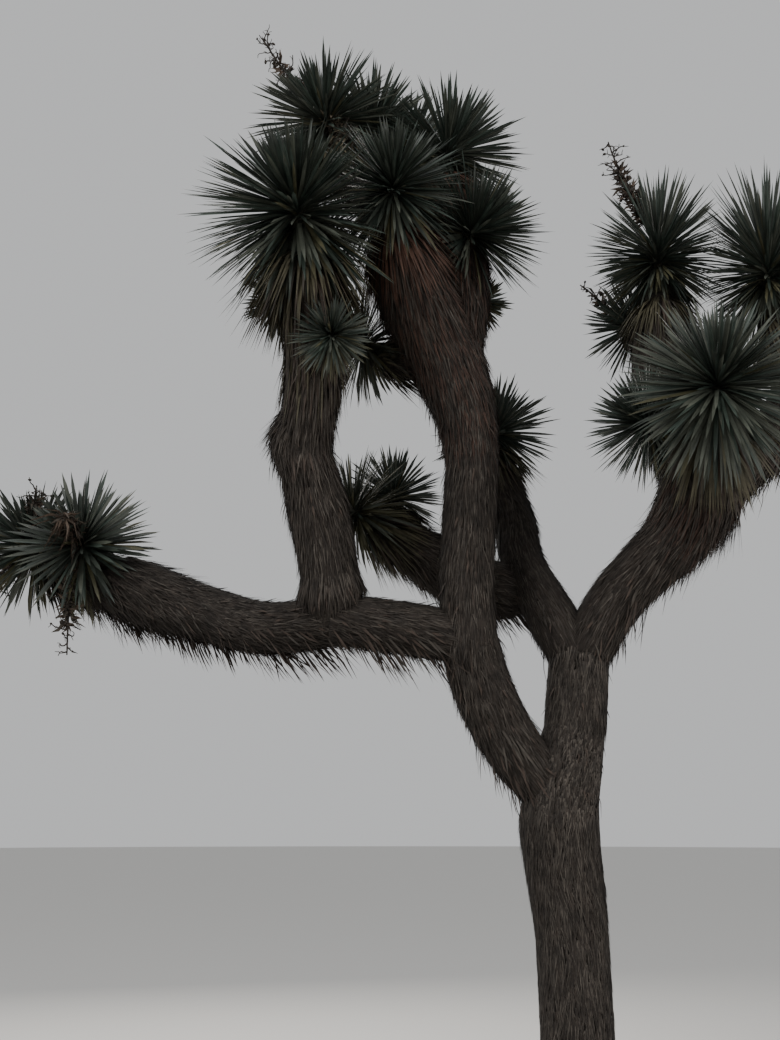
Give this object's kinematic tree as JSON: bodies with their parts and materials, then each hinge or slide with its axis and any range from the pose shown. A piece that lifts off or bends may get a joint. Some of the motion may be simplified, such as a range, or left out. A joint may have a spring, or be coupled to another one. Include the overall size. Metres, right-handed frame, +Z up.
{
  "type": "joshua tree",
  "caption": "Desert tree with a forked trunk, boughs jacketed in dead leaves, and rosettes of stiff dagger leaves at the tips.",
  "frame": {"origin": "middle of the flat cut under the trunk, at ground level", "axes": "+Z up along the trunk, +X to the right and +Y away, seen from the side that the picture shows"},
  "size_m": [3.1397, 1.4964, 4.0417],
  "materials": {
    "trunk_bark": "rough",
    "thatch": "rough",
    "leaves": "satin"
  },
  "bodies": {
    "root": {"trunk": "trunk_bark", "left_leader": "thatch", "centre_bough_lower": "thatch", "centre_bough_upper": "thatch", "left_bough_inner": "thatch", "left_bough_outer": "thatch", "upright_bough_lower": "thatch", "upright_bough_upper": "thatch", "right_bough_lower": "thatch", "right_bough_upper": "thatch", "back_arm": "thatch", "inner_arm": "thatch", "crown_front_arm": "thatch", "crown_right_arm": "thatch", "crown_top_left_arm": "thatch", "crown_top_mid_arm": "thatch", "crown_back_arm": "thatch", "crown_rear_arm": "thatch", "crown_side_arm": "thatch", "left_tip_arm": "thatch", "right_tall_arm": "thatch", "far_right_arm": "thatch", "right_front_arm": "thatch", "out_right_arm": "thatch", "back_right_arm": "thatch", "rear_right_arm": "thatch", "rosette_upper_left": "leaves", "rosette_upper_left_behind": "leaves", "rosette_left_behind": "leaves", "rosette_mid_front": "leaves", "rosette_mid_right": "leaves", "rosette_left_tip_near": "leaves", "rosette_left_tip_far": "leaves", "rosette_top_left": "leaves", "rosette_top_mid": "leaves", "rosette_front": "leaves", "rosette_top_right": "leaves", "rosette_right": "leaves", "rosette_right_behind": "leaves", "rosette_crown_back": "leaves", "rosette_crown_rear": "leaves", "rosette_inner_far": "leaves", "rosette_inner_near": "leaves", "rosette_back_arm": "leaves", "rosette_right_tall": "leaves", "rosette_right_small": "leaves", "rosette_right_low": "leaves", "rosette_right_front": "leaves", "rosette_far_right": "leaves", "rosette_out_right": "leaves", "rosette_back_right": "leaves", "rosette_rear_right": "leaves"}
  },
  "joints": []
}
